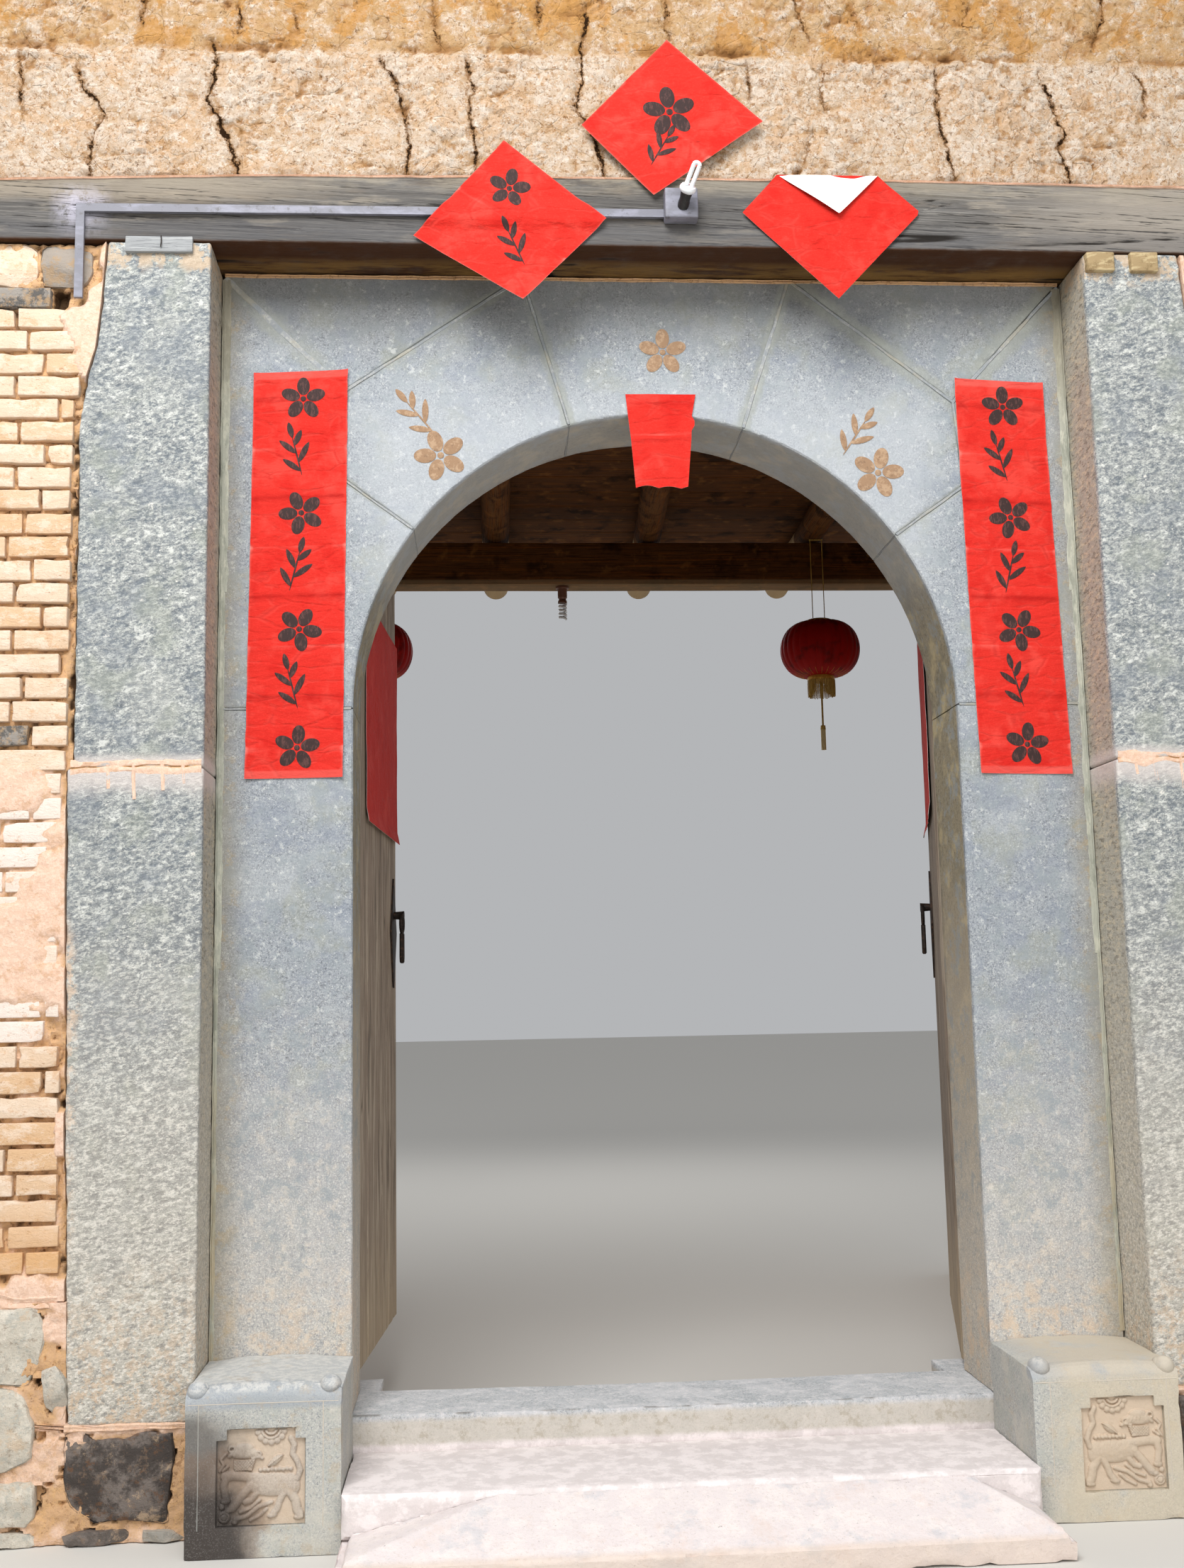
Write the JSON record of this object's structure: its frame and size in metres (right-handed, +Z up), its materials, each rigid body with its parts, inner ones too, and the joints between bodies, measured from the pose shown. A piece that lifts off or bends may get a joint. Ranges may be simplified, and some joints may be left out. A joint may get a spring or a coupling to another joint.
{
  "type": "earthen roundhouse gateway bay",
  "caption": "Gateway bay of a round earthen house: granite arch with pedestals and steps, timber leaves, rammed-earth wall and the passage under the first floor.",
  "frame": {"origin": "on the ground, in the middle of the opening, in the plane of the pilasters' faces", "axes": "+X along the wall, +Y through the wall towards the courtyard, +Z up"},
  "size_m": [3.9, 5.08, 4.5],
  "materials": {
    "granite": "bush-hammered and weathered",
    "picked_granite": "rough picked",
    "step_stone": "worn and dusty",
    "rammed_earth": "dry, cracked",
    "mud_brick": "sun-dried, in mud mortar",
    "rubble": "split stones in mud mortar",
    "old_timber": "weathered grey",
    "inner_timber": "smoked brown, unpainted",
    "leaf_timber": "weathered planks",
    "wrought_iron": "dark, rust-browned",
    "lantern_cloth": "red cloth with gold trim",
    "grey_plastic": "dusty",
    "red_paper": "bare red paper"
  },
  "bodies": {
    "root": {"brick_infill_left": "mud_brick", "brick_infill_right": "mud_brick", "cable_trunking": "grey_plastic", "ceiling_lamp": "grey_plastic", "corner_stone_left": "granite", "corner_stone_right": "granite", "cross_beam": "inner_timber", "deck_boards": "inner_timber", "door_head": "inner_timber", "earth_wall_left": "rammed_earth", "earth_wall_over": "rammed_earth", "earth_wall_right": "rammed_earth", "haunch_left": "granite", "haunch_right": "granite", "jamb_left": "granite", "jamb_right": "granite", "joist_1": "inner_timber", "joist_2": "inner_timber", "joist_3": "inner_timber", "joist_4": "inner_timber", "keystone": "granite", "lantern_left": "lantern_cloth", "lantern_right": "lantern_cloth", "lintel_beam": "old_timber", "party_wall_left": "rammed_earth", "party_wall_right": "rammed_earth", "pedestal_left": "granite", "pedestal_right": "granite", "pilaster_left_lower": "picked_granite", "pilaster_left_upper": "picked_granite", "pilaster_right_lower": "picked_granite", "pilaster_right_upper": "picked_granite", "plinth_left": "rubble", "plinth_right": "rubble", "reveal_lintels": "inner_timber", "springer_left": "granite", "springer_right": "granite", "step_lower": "step_stone", "step_upper": "step_stone", "threshold": "granite", "wall_lamp": "grey_plastic"},
    "leaf_left": {"door_leaf_left": "leaf_timber", "door_pull_left": "wrought_iron"},
    "leaf_right": {"door_leaf_right": "leaf_timber", "door_pull_right": "wrought_iron"}
  },
  "joints": [
    {"name": "leaf_left_swing", "type": "hinge", "parent": "root", "child": "leaf_left", "pos_m": [-0.96, 0.56, 0], "axis": [0, 0, 1], "range_deg": [-86, 19]},
    {"name": "leaf_right_swing", "type": "hinge", "parent": "root", "child": "leaf_right", "pos_m": [0.96, 0.56, 0], "axis": [0, 0, -1], "range_deg": [-104.5, 0.5]}
  ]
}
